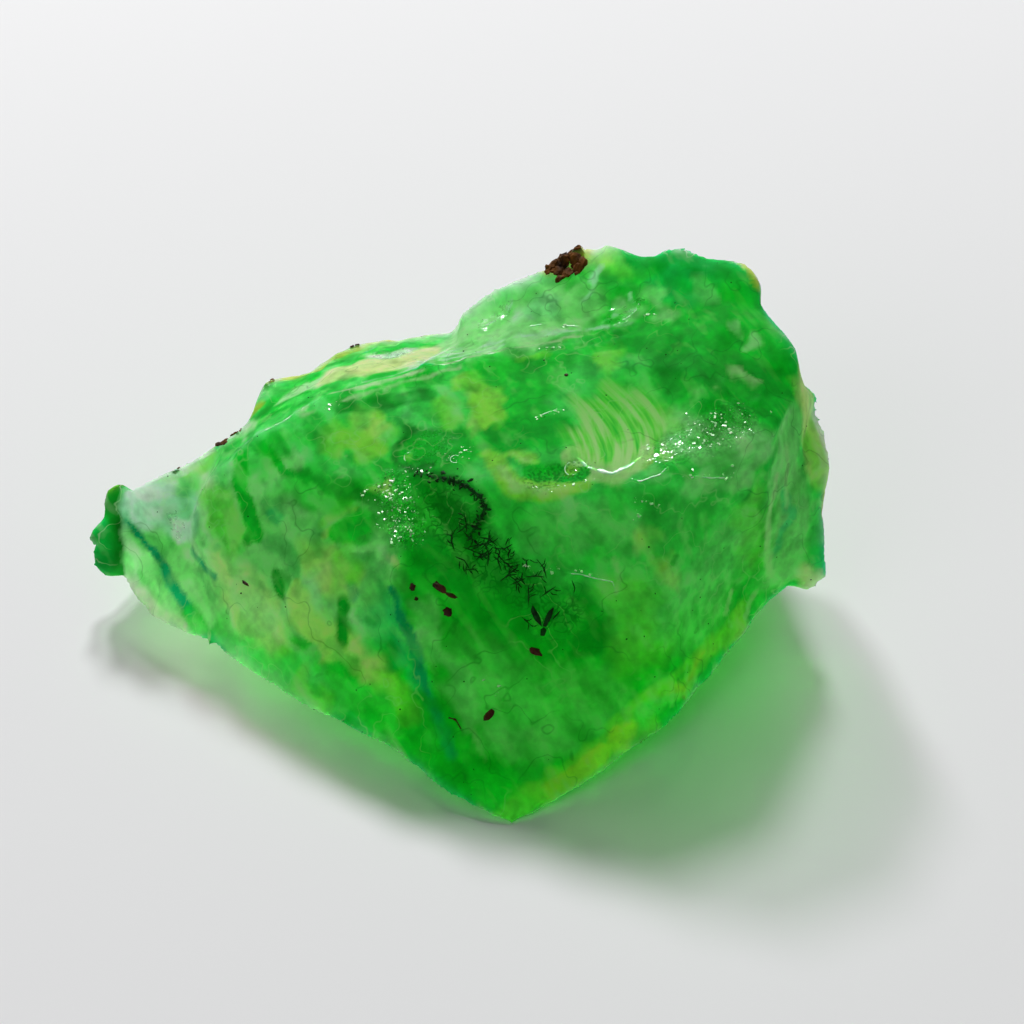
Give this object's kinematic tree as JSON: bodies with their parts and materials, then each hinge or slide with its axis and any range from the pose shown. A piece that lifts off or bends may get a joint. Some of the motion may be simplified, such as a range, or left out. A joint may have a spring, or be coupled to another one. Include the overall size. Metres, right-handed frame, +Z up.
{
  "type": "raw fluorite",
  "caption": "Rough translucent green fluorite fragment: a faceted wedge with a thin blunt tip, a tall broken shoulder, conchoidal scars and a flat cleavage to rest on.",
  "frame": {"origin": "middle of the footprint box, on the surface that the stone rests on", "axes": "+X along the longest extent, from the thin tip to the tall shoulder; +Y from the front foot to the back; +Z up"},
  "size_m": [0.038, 0.0282, 0.0159],
  "materials": {
    "fluorite": "translucent emerald-green crystal, mottled lime and teal, wet-looking gloss on broken skin"
  },
  "bodies": {
    "root": {"fluorite": "fluorite"}
  },
  "joints": []
}
